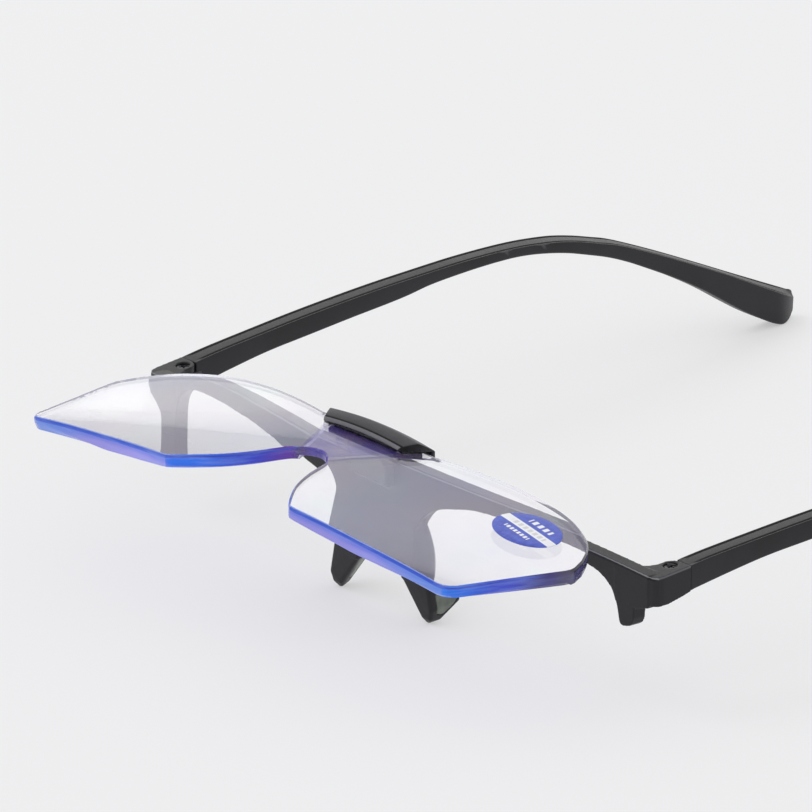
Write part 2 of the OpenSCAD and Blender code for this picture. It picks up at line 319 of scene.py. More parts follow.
def plastic(name, dark, light, rough=0.42, grain=0.25, painted_lip=False):
    """Injection-moulded satin nylon: fine mould grain, slow gloss changes, and convex edges lightened as
    rubbed wear and as a painted highlight.
    The front also gets a painted highlight on its top lip and a painted shade line under it."""
    n = Nodes(name)
    cloud = n.noise(0.08, 4)
    fine = n.noise(5.5, 2, 0.6)
    grainy = n.noise(2.2, 3, 0.65)
    geo = n.add("ShaderNodeNewGeometry")
    # convex edges lightened: partly rubbed wear, partly a painted highlight
    worn_and_lit_edges = n.span(geo.outputs["Pointiness"], 0.53, 0.62)
    tint = n.mix(n.span(cloud, 0.3, 0.7), dark, light)
    speck = n.span(n.noise(1.3, 5, 0.7), 0.66, 0.74)
    tint = n.mix(n.times(speck, 0.1), tint, rgb(120, 120, 124))
    tint = n.mix(n.times(worn_and_lit_edges, 0.45), tint, rgb(104, 104, 108))
    # the front gets a painted highlight on its top lip and a painted shade line under it
    if painted_lip:
        tint = paint_lip_light_and_shade(n, tint, n.parts(geo.outputs["Normal"]))
    gloss = n.math("ADD", n.times(n.span(cloud, 0.25, 0.75), 0.08), n.times(n.span(grainy, 0.3, 0.7), 0.07))
    gloss = n.math("ADD", gloss, rough - 0.08)
    normal = n.bump(grainy, grain * 0.8, 0.05, n.bump(fine, grain, 0.03))
    return n.out(n.principled(Base_Color=tint, Roughness=gloss, Normal=normal, IOR=1.48,
                              Specular_IOR_Level=0.34))


def metal(name, colour, rough):
    n = Nodes(name)
    grain = n.noise(6.0, 3, 0.6)
    cloud = n.noise(0.7, 3)
    tint = n.mix(n.span(cloud, 0.3, 0.75), colour, tuple(c * 0.78 for c in colour[:3]) + (1.0,))
    gloss = n.math("ADD", n.times(n.span(grain, 0.3, 0.7), 0.14), rough)
    return n.out(n.principled(Base_Color=tint, Roughness=gloss, Normal=n.bump(grain, 0.12, 0.02),
                              Metallic=1.0))


def soft_rubber(name, dark, light):
    n = Nodes(name)
    cloud = n.noise(0.35, 4)
    tint = n.mix(n.span(cloud, 0.3, 0.7), dark, light)
    return n.out(n.principled(Base_Color=tint, Roughness=n.span(cloud, 0.2, 0.8, 0.5, 0.62),
                              Normal=n.bump(n.noise(9.0, 2), 0.12, 0.03), IOR=1.43, Subsurface_Weight=0.15,
                              Subsurface_Scale=0.0006, Sheen_Weight=0.15))


FRAME_BLACK = plastic("frame_black", rgb(26, 26, 29), rgb(36, 36, 40))
# the front's plastic carries the painted lip highlight and the painted shade line
FRONT_BLACK = plastic("front_black_lip_lit", rgb(23, 23, 26), rgb(32, 32, 36), painted_lip=True)
CLIP_BLACK = plastic("clip_black", rgb(46, 46, 50), rgb(66, 66, 71), rough=0.46, grain=0.7)
# painted shade: near-black plastic for the bar's ends, its groove and the wall under its lip
CLIP_SHADE = plastic("clip_shade", rgb(5, 5, 7), rgb(9, 9, 12), rough=0.3, grain=0.12)
# painted highlight: a lighter copy of the clip plastic for the lip's sloped strip
CLIP_LIP_LIT = plastic("clip_lip_lit", rgb(96, 96, 101), rgb(116, 116, 121), rough=0.42, grain=0.4)
STEEL = metal("screw_metal", rgb(196, 194, 190), 0.24)
DARK_STEEL = metal("blackened_screw", rgb(58, 58, 62), 0.22)
BRASS = metal("insert_metal", rgb(214, 176, 98), 0.28)
NYLON = soft_rubber("washer_white", rgb(222, 220, 210), rgb(236, 234, 226))
PAD = soft_rubber("pad_grey", rgb(88, 94, 86), rgb(112, 118, 108))


def give(obj, mat, body, slot, *nodes):
    obj.data.materials.clear()
    obj.data.materials.append(mat)
    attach(obj, body)
    if nodes:
        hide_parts(*nodes)
    return obj


# ---- plain pieces: softened copies of CAD nodes, each with a voxel in millimetres and smoothing passes ----
def soften(node, name, voxel, passes, mat, body, slot):
    give(softened(node, name, voxel, passes), mat, body, slot, node)


soften("frame_front", "front_moulding", 0.15, 5, FRONT_BLACK, "front", "frame_plastic")
for side in ("left", "right"):
    soften(f"nose_pad_{side}", f"nose_insert_{side}", 0.1, 4, PAD, "front", "pad_silicone")
    soften(f"hinge_screw_{side}", f"hinge_pin_screw_{side}", 0.045, 2, DARK_STEEL, "front", "screw_steel")
    soften(f"hinge_insert_{side}", f"threaded_insert_{side}", 0.05, 2, BRASS, "front", "insert_brass")
    soften(f"hinge_washers_{side}", f"slip_washers_{side}", 0.04, 1, NYLON, "front", "washer_nylon")
soften("flip_mount", "bridge_mount", 0.09, 4, CLIP_BLACK, "front", "clip_plastic")
soften("mount_screws", "bridge_mount_screws", 0.05, 2, DARK_STEEL, "front", "screw_steel")
soften("friction_washers", "spring_washers", 0.04, 1, STEEL, "front", "screw_steel")
soften("lens_clamp", "clamp_under", 0.09, 4, CLIP_BLACK, "flip_unit", "clip_plastic")
soften("clamp_screws", "clamp_screw_pair", 0.05, 2, DARK_STEEL, "flip_unit", "screw_steel")
soften("flip_pin", "hinge_rod", 0.05, 2, STEEL, "flip_unit", "screw_steel")

# ---- temples: in side view, t runs rearwards from the split behind the endpiece ----
SPLIT_Y, SPLIT_GAP, TEMPLE_LEN, TEMPLE_T = 7.8, 0.15, 143.5, 4.1
SPLAY = math.radians(1.9)
HINGE = (67.2, 5.7)
RUN = (TEMPLE_LEN - SPLIT_GAP) / TEMPLE_LEN
TOP = [(0, 24.2), (6, 25), (15.7, 26), (25, 26.9), (34, 27.6), (43.5, 28.2), (53, 28.6), (62, 28.9),
       (70, 28.9), (76.2, 28.7), (81, 28.3), (85.7, 27.7), (90.4, 26.7), (95.1, 25.4), (99.9, 23.9),
       (109.3, 20), (118.9, 15.7), (128.5, 11.3), (138, 7), (141, 5.65), (142.3, 5.05)]
BOTTOM = [(0, 19.6), (9, 21.2), (16.9, 22.4), (26.2, 23.3), (35.5, 24.2), (44.8, 25), (49.4, 25.5),
          (54, 26.2), (58.8, 26.6), (66, 26.95), (72.8, 27), (77.5, 26.7), (82.2, 26), (86.9, 25),
          (91.7, 23.6), (96.4, 22.1), (101.1, 20.2), (105.9, 17.9), (110.7, 15.5), (115.4, 13),
          (120.2, 10.2), (125, 7.1), (129.8, 4.1), (134.6, 1.5), (136.8, 0.5), (138.4, 0.05), (139.6, 0.1),
          (140.9, 0.5), (141.8, 1.1)]
INNER_DROP = [(70, 0), (95, 0.4), (125, 0.45), (137, 1.0), (143, 1.2)]    # of the inner top edge
TAPER_FROM, TAPER_RUN, TAPER = 137, 6.3, 0.74    # the tip thins on its inner side
STATIONS = 170
ROUND_LOW, ROUND_TOP = 0.5, 0.22
LIP, GROOVE, DEPTH, FLAT = 0.4, 0.5, 0.55, 0.02  # FLAT is what stays of the groove's depth at the ends
START_BEVEL, START_NARROW, START_SHIFT = 0.18, 0.08, 0.26
TIP_ROUND, TIP_LOW, TIP_NARROW = 1.1, 0.8, 0.5


def ramp(value, start, run):
    return min(1, max(0.0, value - start) / run)


def temple_section(half, high, groove):
    """Outline of a section: x across, h up from the bottom. Along both top edges run a lip and a groove."""
    pts = []

    def arc(cx, cy, r, a0, a1, n=5):
        for i in range(n + 1):
            a = math.radians(a0 + (a1 - a0) * i / n)
            pts.append((cx + r * math.cos(a), cy + r * math.sin(a)))
    arc(-half + ROUND_LOW, ROUND_LOW, ROUND_LOW, 180, 270)
    arc(half - ROUND_LOW, ROUND_LOW, ROUND_LOW, 270, 360)
    arc(half - ROUND_TOP, high - ROUND_TOP, ROUND_TOP, 0, 90, 4)
    x1, x2 = half - LIP, half - LIP - GROOVE
    side = [(x1 + 0.04, high - 0.01), (x1 - 0.03, high - groove * 0.85), (0.5 * (x1 + x2), high - groove),
            (x2 + 0.05, high - groove * 0.8), (x2 - 0.06, high - 0.05)]
    crown = [(x2 * t, high - 0.03 + 0.02 * (1 - t * t)) for t in (0.88, 0.8, 0.3, -0.3, -0.8, -0.88)]
    pts.extend(side + crown + [(-x, h) for x, h in side[::-1]])
    arc(-half + ROUND_TOP, high - ROUND_TOP, ROUND_TOP, 90, 180, 4)
    return pts


def temple_ring(t, b, narrow=1.0, low=0.0, shift=0.0, groove=FLAT):
    """A section between a top point t and a bottom point b. It can be narrowed, drawn in from below by low
    and shifted along the temple."""
    high = float(np.linalg.norm(t - b))
    u = (t - b) / high
    along = np.array([u[1], -u[0]])
    ring = []
    for x, h in temple_section(TEMPLE_T / 2, high, groove):
        p = b + u * (low + h * (1 - 1.6 * low / high)) + along * shift
        inner = 0.5 - x / TEMPLE_T
        drop = float(np.interp(p[0], *zip(*INNER_DROP)))
        lean = p[1] - inner * drop * ramp(h / high, 0.45, 0.5)
        taper = 1 - TAPER * ramp(p[0], TAPER_FROM, TAPER_RUN) ** 1.7
        across = TEMPLE_T / 2 - (TEMPLE_T / 2 - x * narrow) * taper
        ring.append((across, SPLIT_Y + SPLIT_GAP + RUN * p[0], max(lean, 0.01)))
    return ring


def temple_rings():
    top = resample(spline(TOP, 8), STATIONS)
    bottom = resample(spline(BOTTOM, 8), STATIONS)
    rings = []
    for a in (80, 45, 15):
        along, across = 1 - math.sin(math.radians(a)), 1 - math.cos(math.radians(a))
        rings.append(temple_ring(top[0], bottom[0], 1 - START_NARROW * across, START_BEVEL * across,
                                 START_BEVEL * along))
    rings.append(temple_ring(top[0], bottom[0], shift=START_SHIFT))
    for k in range(1, STATIONS):
        t = k / (STATIONS - 1)
        groove = DEPTH * ramp(t, 0.006, 0.02) * ramp(0.99 - t, 0, 0.03)
        rings.append(temple_ring(top[k], bottom[k], groove=max(groove, FLAT)))
    for a in (15, 30, 45, 60, 75, 88):
        along, across = math.sin(math.radians(a)), 1 - math.cos(math.radians(a))
        rings.append(temple_ring(top[-1], bottom[-1], 1 - TIP_NARROW * across, TIP_LOW * across,
                                 TIP_ROUND * along))
    return rings


def turned(p):
    """Sets the temple on its splay about the split."""
    x, y, z = p
    c, s = math.cos(SPLAY), math.sin(SPLAY)
    y -= SPLIT_Y
    return (END_X - TEMPLE_T / 2 + c * x + s * y, SPLIT_Y - s * x + c * y, z)


def prism(name, outline, z0, z1, hole, radius):
    """An upright plate with a round hole."""
    steps, n = 24, len(outline)
    pts = [Vector(p) for p in outline + circle(hole, radius, steps)]
    edges = [(i, (i + 1) % n) for i in range(n)] + [(n + i, n + (i + 1) % steps) for i in range(steps)]
    verts, _, tris, *_ = delaunay_2d_cdt(pts, edges, [list(range(n))], 0, 1e-6)
    bm = bmesh.new()
    low = [bm.verts.new(world((v.x, v.y, z0))) for v in verts]
    for t in without_hole(tris, verts, hole, radius * 0.9):
        bm.faces.new([low[i] for i in t])
    made = bmesh.ops.extrude_face_region(bm, geom=bm.faces[:])
    moved = [g for g in made["geom"] if isinstance(g, bmesh.types.BMVert)]
    bmesh.ops.translate(bm, verts=moved, vec=(0, 0, (z1 - z0) * MM))
    bmesh.ops.recalc_face_normals(bm, faces=bm.faces)
    return from_bmesh(name, bm)


def join(name, *objs):
    """One mesh from several closed ones."""
    bm = bmesh.new()
    for obj in objs:
        bm.from_mesh(obj.data)
        bpy.data.objects.remove(obj)
    return from_bmesh(name, bm)


def mirrored(obj):
    bm = bmesh.new()
    bm.from_mesh(obj.data)
    for v in bm.verts:
        v.co.x = -v.co.x
    bmesh.ops.reverse_faces(bm, faces=bm.faces)
    bm.to_mesh(obj.data)
    bm.free()
    obj.data.update()
    return obj


# the tongue that the hinge screw runs through: a round end on two straight sides
TONGUE_R, TONGUE_BORE, TONGUE_LOW, TONGUE_HIGH = 1.95, 0.63, 20.75, 22.45
TONGUE_IN, TONGUE_OUT, TONGUE_NECK, TONGUE_ROOT = 66.25, 68.55, 7.3, 9.2


def tongue():
    end = [(HINGE[0] + TONGUE_R * math.cos(math.radians(a)), HINGE[1] + TONGUE_R * math.sin(math.radians(a)))
           for a in range(130, 411, 10)]
    outline = ([(TONGUE_IN, TONGUE_ROOT), (TONGUE_IN, TONGUE_NECK)] + end
               + [(TONGUE_OUT, TONGUE_NECK), (TONGUE_OUT, TONGUE_ROOT)])
    return prism("leaf", outline, TONGUE_LOW, TONGUE_HIGH, HINGE, TONGUE_BORE)


for side in ("right", "left"):
    arm = loft("arm", [[turned(p) for p in ring] for ring in temple_rings()])
    arm = join(f"temple_arm_{side}", arm, tongue())
    if side == "left":
        mirrored(arm)
    arm.data.shade_smooth()
    give(arm, FRAME_BLACK, f"temple_{side}", "frame_plastic", f"temple_{side}")

# ---- shield: in its own plan x runs sideways and v rearwards, before the sheet is bent and tilted ----
SHIELD_Y, SHIELD_Z, TILT, SHIELD_R = -1.58, 31.92, math.radians(1.5), 358.3
WEB_T = 1.6
LOBE_BACK = [(15.3, -2.3), (20, -1.3), (26, -0.2), (34, 0.9), (42, 1.2), (49, 0.6), (54.9, -1.4),
             (57.7, -3.1), (59.7, -5), (61.7, -7.6)]
LOBE_OUTER = [(63, -10.2), (63.2, -11.2), (63.1, -12.3), (60.7, -21.7), (58.1, -32.2), (57.4, -33.5),
              (56.5, -34.3), (55.3, -34.7)]
LOBE_FRONT = [(36, -35.9), (18.6, -36.3), (17.2, -36.2), (16.2, -35.6)]
LOBE_NOSE = [(14, -33.6), (10.2, -29.4), (7.4, -24.6), (5.8, -20.4), (4.9, -18.4), (3.7, -17.3)]
NOTCH = [(-2.2, -16.2), (0, -15.6), (2.2, -16.2), (3.7, -17.3)]
WEB_BACK = [(11, -2.3), (7, -2.3), (3.5, -2.3), (0, -2.3)]
STEP = [(15.3, -2.3), (9.9, -6.8), (6, -12.6), (3.7, -17.3)]       # from thin web to thick lobe
STEP_W = 0.14
CHAMFER = 0.34
# The rim has a depth of its own up to FRONT, at most SIDE_DEPTH between, and the lobe's from REAR on.
FRONT, REAR, SIDE_DEPTH = -33.4, -12, 2.3
RETURN_H = 0.12                            # height of the rim's lower slope
SCREW_X, SCREW_Y, SCREW_HOLE, HOLE_STEPS = 9.2, -4.25, 0.75, 20
GRID, FACET_MIN, FACET_MAX = 1.0, 0.25, 1.2
# Depth of a lobe below its top face, about its middle: it magnifies, and thins out towards the bridge.
# For each lobe: bend along x and v, twist, slope along x and v
MIDDLE, DEEP = (34.0, -17.0), 2.95
POWER = {1: (-1.0e-3, -1.85e-3, 0.43e-3, 0.008, 0.011), -1: (-1.0e-3, -1.5e-3, 0.43e-3, 0.007, 0.008)}
# Depth of the rim along the front of each lobe, by the distance from the lobe's middle
RIM_AT = [-19, -10, 0, 8, 16, 22]
RIM_DEPTH = {1: [2.2, 2.65, 2.85, 2.6, 2.2, 1.9], -1: [2.25, 2.65, 2.8, 2.3, 1.75, 1.25]}
# kinds of face: top, underside, the rim's upper slope, side and lower slope, the last at the rear, and bores
UPPER, UNDER, SLOPE, SIDE, RETURN, REAR_RETURN, BORE = range(7)
RIM_KINDS = (SLOPE, SIDE, RETURN)


def shield_point(x, v, depth):
    """A point depth below the shield's top face, from its own plan to the design frame."""
    nx = x / SHIELD_R
    nz = math.sqrt(1 - nx * nx)
    lx, ly, lz = x - nx * depth, v, SHIELD_R * nz - SHIELD_R - nz * depth
    c, s = math.cos(TILT), math.sin(TILT)
    return (lx, SHIELD_Y + c * ly - s * lz, SHIELD_Z + s * ly + c * lz)


def half_outline():
    """The right half of the shield's outline, from the notch out along the front, and back to the middle."""
    line = (spline(NOTCH, 4)[4:-1] + spline(LOBE_NOSE[::-1], 4) + LOBE_FRONT[::-1] + LOBE_OUTER[::-1]
            + spline(LOBE_BACK[::-1], 4) + WEB_BACK)
    out = [line[0]]
    for p in line[1:]:
        gap = math.dist(p, out[-1])
        if gap < FACET_MIN:
            continue
        start, n = np.array(out[-1]), int(gap / FACET_MAX) + 1
        out += [tuple(start + (np.array(p) - start) * i / n) for i in range(1, n + 1)]
    return out


def to_step(x, v):
    """Signed distance from the line between web and lobe, drawn out at both ends. Positive on the lobe."""
    p = np.array([abs(x), v])
    line = [np.array(q) for q in [(18.3, 0.2)] + STEP + [(2.6, -19.6)]]
    best, sign = 1e9, 1
    for a, b in zip(line, line[1:]):
        d = b - a
        t = min(1, max(0, float((p - a) @ d / (d @ d))))
        off = p - (a + d * t)
        dist = float(np.linalg.norm(off))
        if dist < best:
            best, sign = dist, np.sign(d[0] * (p - a)[1] - d[1] * (p - a)[0])
    return best * sign


def lobe_depth(x, v):
    u, w = abs(x) - MIDDLE[0], v - MIDDLE[1]
    bend_x, bend_v, twist, lean_x, lean_v = POWER[1 if x > 0 else -1]
    return DEEP + (bend_x * u * u + bend_v * w * w) / 2 + twist * u * w + lean_x * u + lean_v * w


def lobe_slope(x, v):
    u, w, side = abs(x) - MIDDLE[0], v - MIDDLE[1], 1 if x > 0 else -1
    bend_x, bend_v, twist, lean_x, lean_v = POWER[side]
    return np.array(((bend_x * u + twist * w + lean_x) * side, bend_v * w + twist * u + lean_v, 0))


def depth_at(x, v):
    """The web is thin, and a steep step leads to the lobes."""
    t = min(1, max(0, to_step(x, v) / STEP_W))
    return WEB_T + (lobe_depth(x, v) - WEB_T) * t


def rim_depth(x, v):
    """Depth of the rim's lower edge: full in the middle of the front, less towards the corners."""
    slope = RETURN_H if v < REAR else 0.0
    if to_step(x, v) < 0.05:
        return WEB_T - slope
    if v < FRONT:
        return float(np.interp(abs(x) - MIDDLE[0], RIM_AT, RIM_DEPTH[1 if x > 0 else -1])) - slope
    return (lobe_depth(x, v) if v > REAR else min(lobe_depth(x, v), SIDE_DEPTH)) - slope


def unit(vector):
    return vector / np.linalg.norm(vector)


def shield_ring():
    """The whole outline, anticlockwise, with the way inward at each point and the outward normals of the two
    stretches that meet there."""
    half = half_outline()
    ring = [np.array(p) for p in half] + [np.array((-p[0], p[1])) for p in half[::-1][1:-1]]
    inward, sides = [], []
    for i, b in enumerate(ring):
        a, c = ring[i - 1], ring[(i + 1) % len(ring)]
        t0, t1 = unit(b - a), unit(c - b)
        t = unit(t0 + t1)
        k = np.array([-t[1], t[0]])
        inward.append(k / max(0.5, float(k @ np.array([-t0[1], t0[0]]))))
        sides.append((np.array([t0[1], -t0[0]]), np.array([t1[1], -t1[0]])))
    return ring, inward, sides


def inside(outline, x, y):
    """Whether a point lies inside a closed outline."""
    crossed = False
    for (ax, ay), (bx, by) in zip(outline, outline[1:] + outline[:1]):
        if (ay > y) != (by > y) and x < (bx - ax) * (y - ay) / (by - ay) + ax:
            crossed = not crossed
    return crossed


def shield_plan(ring, inward):
    """The flat plan in triangles: inset outline, the step's two lines, the screw holes and a fine grid.
    Returns its points and triangles, and which of its points lie on the outline and round each hole."""
    n = len(ring)
    inner = [p + k * CHAMFER for p, k in zip(ring, inward)]
    pts, edges = [Vector(p) for p in inner], [(i, (i + 1) % n) for i in range(n)]
    for side in (1, -1):
        line = resample(STEP, 60)
        d = np.gradient(line, axis=0)
        d /= np.linalg.norm(d, axis=1)[:, None]
        foot = line + np.stack([-d[:, 1], d[:, 0]], 1) * STEP_W * 1.02
        for path in (line[1:-1], foot[1:-1]):
            start = len(pts)
            pts += [Vector((side * p[0], p[1])) for p in path]
            edges += [(start + i, start + i + 1) for i in range(len(path) - 1)]
    holes = []
    for side in (1, -1):
        start = len(pts)
        holes.append(((side * SCREW_X, SCREW_Y), start))
        pts += [Vector(p) for p in circle(holes[-1][0], SCREW_HOLE, HOLE_STEPS)]
        edges += [(start + i, start + (i + 1) % HOLE_STEPS) for i in range(HOLE_STEPS)]
    near = np.array([list(p) for p in pts])
    outline = [tuple(map(float, p)) for p in inner]
    for x in np.arange(-64, 64.01, GRID):
        for y in np.arange(-36, 2.01, GRID):
            if inside(outline, x, y) and np.min(np.linalg.norm(near - (x, y), axis=1)) > 0.45 * GRID:
                pts.append(Vector((x, y)))
    points, _, triangles, sources, *_ = delaunay_2d_cdt(pts, edges, [list(range(n))], 1, 1e-5)
    for centre, _ in holes:
        triangles = without_hole(triangles, points, centre, SCREW_HOLE * 0.93)
    at = {source: k for k, found in enumerate(sources) for source in found}
    return (points, triangles, [at[i] for i in range(n)],
            [[at[start + i] for i in range(HOLE_STEPS)] for _, start in holes])


def sheet_normal(x):
    """The bent and tilted sheet's normal."""
    nx = x / SHIELD_R
    nz = math.sqrt(1 - nx * nx)
    return np.array((nx, -math.sin(TILT) * nz, math.cos(TILT) * nz))


def underside_normal(p, on_lobe, flat):
    """On a lobe the underside has a bend of its own. On the step from web to lobe the facets stay flat."""
    normal = unit(-(sheet_normal(p.x) + (lobe_slope(p.x, p.y) if on_lobe else 0)))
    return normal if abs(flat.dot(Vector(normal))) >= 0.97 else flat


def rim_normal(flat, before, after):
    """Along the rim the normals run on from facet to facet, except at the corners."""
    if before @ after <= 0.9:
        return flat
    middle, level = unit(before + after), math.hypot(flat[0], flat[1])
    return (middle[0] * level, middle[1] * level, flat[2])


def build_shield():
    ring, inward, sides = shield_ring()
    points, triangles, rim_at, holes = shield_plan(ring, inward)
    n, m = len(ring), len(points)
    verts = [shield_point(p.x, p.y, 0) for p in points]
    verts += [shield_point(p.x, p.y, depth_at(p.x, p.y)) for p in points]
    low, deep = len(verts), len(verts) + n
    verts += [shield_point(*p, CHAMFER) for p in ring] + [shield_point(*p, rim_depth(*p)) for p in ring]
    faces, kinds = [], []
    for t in triangles:
        a, b, c = (points[i] for i in t)
        t = t if (b - a).cross(c - a) > 0 else t[::-1]
        faces += [tuple(t), tuple(m + i for i in t[::-1])]
        kinds += [UPPER, UNDER]
    for i in range(n):
        j = (i + 1) % n
        top_i, top_j = rim_at[i], rim_at[j]
        faces += [(top_i, low + i, low + j, top_j), (low + i, deep + i, deep + j, low + j),
                  (deep + i, m + top_i, m + top_j, deep + j)]
        kinds += [SLOPE, SIDE, REAR_RETURN if min(ring[i][1], ring[j][1]) > REAR else RETURN]
    for hole in holes:
        faces += [(b, m + b, m + a, a) for a, b in zip(hole, hole[1:] + hole[:1])]
        kinds += [BORE] * HOLE_STEPS
    mesh = bpy.data.meshes.new("shield_glass")
    mesh.from_pydata([world(v) for v in verts], [], faces)
    mesh.polygons.foreach_set("use_smooth", [True] * len(faces))
    outline_of = {k: i for i, k in enumerate(rim_at)}
    normals = []
    for face, kind in zip(mesh.polygons, kinds):
        flat, middle = face.normal, face.center / MM
        on_lobe = kind == UNDER and to_step(middle.x, middle.y + SHIFT_Y - SHIELD_Y) > STEP_W * 0.6
        for v in face.vertices:
            if kind == UPPER:
                normal = sheet_normal(points[v].x)
            elif kind == UNDER:
                normal = underside_normal(points[v - m], on_lobe, flat)
            elif kind in RIM_KINDS:
                normal = rim_normal(flat, *sides[(v - low) % n if v >= low else outline_of[v % m]])
            else:
                normal = flat
            normals.append(tuple(normal))
    mesh.normals_split_custom_set(normals)
    mesh.update()
    for face, kind in zip(mesh.polygons, kinds):
        face.material_index = 1 if kind in RIM_KINDS else 0
    return add_object("shield_glass", mesh)


# ---- shield finishes ----
def glass_face():
    """Hard-coated polycarbonate: clear, with hairline wear and a thin veil of blue, violet and pink painted
    in as the reflex coating's reflection, strongest on the web."""
    n = Nodes("shield_clear_painted_light")
    haze = n.span(n.noise(0.9, 6, 0.75, (1, 0.25, 1)), 0.62, 0.85, 0.0, 0.012)
    glass = n.principled(Base_Color=(1, 1, 1, 1), Roughness=haze, Transmission_Weight=1.0, IOR=1.586,
                         Specular_Tint=rgb(222, 216, 255))
    x, v, _ = n.design(SHIFT_Y - SHIELD_Y)
    hue = n.mix(n.span(n.noise(0.045, 3, 0.5, (1, 0.6, 1)), 0.4, 0.6), rgb(116, 136, 232), rgb(206, 168, 226))
    hue = n.mix(n.span(n.noise(0.09, 2, 0.5), 0.52, 0.68), hue, rgb(150, 206, 226))
    # the web reaches out to a line close to the step
    reach = n.math("ADD", n.times(n.math("SUBTRACT", v, STEP[-1][1]), 0.62), 3.9)
    web = n.times(n.fade(n.math("SUBTRACT", x, reach), -0.7, 0.1), n.span(v, -17.6, -16.2),
                  n.span(n.noise(0.2, 3), 0.25, 0.7, 0.45, 1.0))
    # painted reflection: a diffuse veil stands for the coating's coloured reflection
    painted_coat_reflection = n.add("ShaderNodeBsdfDiffuse")
    n.put(painted_coat_reflection.inputs["Color"], n.mix(web, hue, rgb(74, 54, 176)))
    amount = n.math("ADD", n.span(n.noise(0.06, 3), 0.35, 0.65, 0.025, 0.05), n.times(web, 0.2))
    return n, n.mix_shaders(amount, glass, painted_coat_reflection.outputs[0])


def let_light_through(n, shader, colour):
    """Shadow and floor rays pass the shield nearly unchanged, as they do through thin glass."""
    path = n.add("ShaderNodeLightPath")
    clear = n.add("ShaderNodeBsdfTransparent")
    clear.inputs["Color"].default_value = colour
    fac = n.math("MAXIMUM", path.outputs["Is Shadow Ray"], path.outputs["Is Diffuse Ray"])
    return n.mix_shaders(fac, shader, clear.outputs[0])


def shield_face_material():
    n, glass = glass_face()
    return n.out(let_light_through(n, glass, rgb(244, 243, 252)))


def painted_rim_light(n, x, y, deep, normal, streak):
    """Painted piped light along the edge: a strong blue line over lavender along the front, strong blue to
    purple on the slanted sides, and painted highlight streaks.
    """
    level = n.math("ADD", n.times(n.noise(0.07, 3, 0.6), 0.5), n.math("DIVIDE", deep, 2.6))
    low = n.mix(n.span(level, 0.55, 0.95), rgb(112, 128, 240), rgb(158, 152, 244))
    low = n.mix(n.times(n.span(x, 38, 52), 0.75), low, rgb(92, 146, 244))
    front = n.mix(n.span(deep, 0.55, 0.8), rgb(34, 84, 218), low)
    front = n.mix(n.fade(deep, 0.08, 0.2), front, rgb(150, 170, 246))
    side = n.mix(n.span(y, -34, -26), rgb(20, 104, 244), rgb(44, 66, 216))
    side = n.mix(n.span(y, -27, -19), side, rgb(104, 54, 172))
    outer = n.mix(n.span(y, -35, -25), rgb(30, 120, 250), rgb(56, 72, 214))
    outer = n.mix(n.span(y, -25, -17.5), outer, rgb(58, 46, 122))
    outer = n.mix(n.span(y, -17.5, -13.5), outer, rgb(80, 74, 104))
    side = n.mix(n.span(x, 30, 40), side, outer)
    line = n.times(n.span(deep, 0.2, 0.34), n.fade(deep, 0.5, 0.62))
    side = n.mix(n.times(line, n.fade(y, -22, -17)), side, rgb(20, 54, 190))
    colour = n.mix(n.span(n.math("ABSOLUTE", normal[0]), 0.35, 0.6), front, side)
    # painted highlight: bright streaks along the rim
    streak_glint = n.times(n.span(streak, 0.42, 0.7, 0.0, 0.3), n.span(y, -22, -16, 1.0, 0.3))
    return n.mix(streak_glint, colour, rgb(150, 176, 255))


def shield_rim_material():
    """The edge's colour is painted light, for the light the sheet pipes from inside: coloured along the front
    and sides, and dim glass at the rear and round the notch."""
    n, glass = glass_face()
    x, y, z = n.design()
    sag = n.times(x, x, 1 / (2 * SHIELD_R))
    top = n.math("SUBTRACT", n.math("ADD", n.times(y, math.tan(TILT)), SHIELD_Z + 0.04), sag)
    deep = n.math("SUBTRACT", top, z)
    geo = n.add("ShaderNodeNewGeometry")
    normal = n.parts(geo.outputs["Normal"])
    streak = n.noise(0.35, 4, 0.6, (0.25, 0.25, 3))
    colour = painted_rim_light(n, x, y, deep, normal, streak)
    dim = n.math("MAXIMUM", n.span(normal[1], 0.1, 0.4), n.fade(x, 3.4, 5.2))
    dim = n.math("MAXIMUM", dim, n.span(y, -5.6, -4.6))
    fac = n.math("MAXIMUM", geo.outputs["Backfacing"], n.times(dim, 0.85))
    corner = n.times(n.span(x, 56.5, 59.5), n.span(y, -17, -13.5), n.span(streak, 0.35, 0.65, 0.5, 0.72))
    fac = n.math("SUBTRACT", fac, corner, clamp=True)
    # painted shade: a thin dark line along the rear outline, and on the stretch beside the bar's ends
    dark = n.times(n.span(y, -13.4, -12.4), n.span(x, 12, 13), n.fade(deep, 0.6, 0.8))
    beside = n.times(n.span(x, 11.4, 12.0), n.fade(x, 15.8, 16.6), n.span(y, -7.2, -6.6))
    dark = n.math("MAXIMUM", dark, beside)
    fac = n.times(fac, n.math("SUBTRACT", 1.0, n.times(dark, 0.75)))
    # the painted shade takes a dark grey-violet colour
    rim = n.principled(Base_Color=n.mix(dark, colour, rgb(66, 64, 76)), IOR=1.45, Coat_Weight=0.1,
                       Roughness=n.span(streak, 0.3, 0.7, 0.1, 0.22), Transmission_Weight=0.12)
    return n.out(let_light_through(n, n.mix_shaders(fac, rim, glass), rgb(224, 226, 250)))


shield = build_shield()
shield.data.materials.append(shield_face_material())
shield.data.materials.append(shield_rim_material())
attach(shield, "flip_unit")
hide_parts("shield_lens")

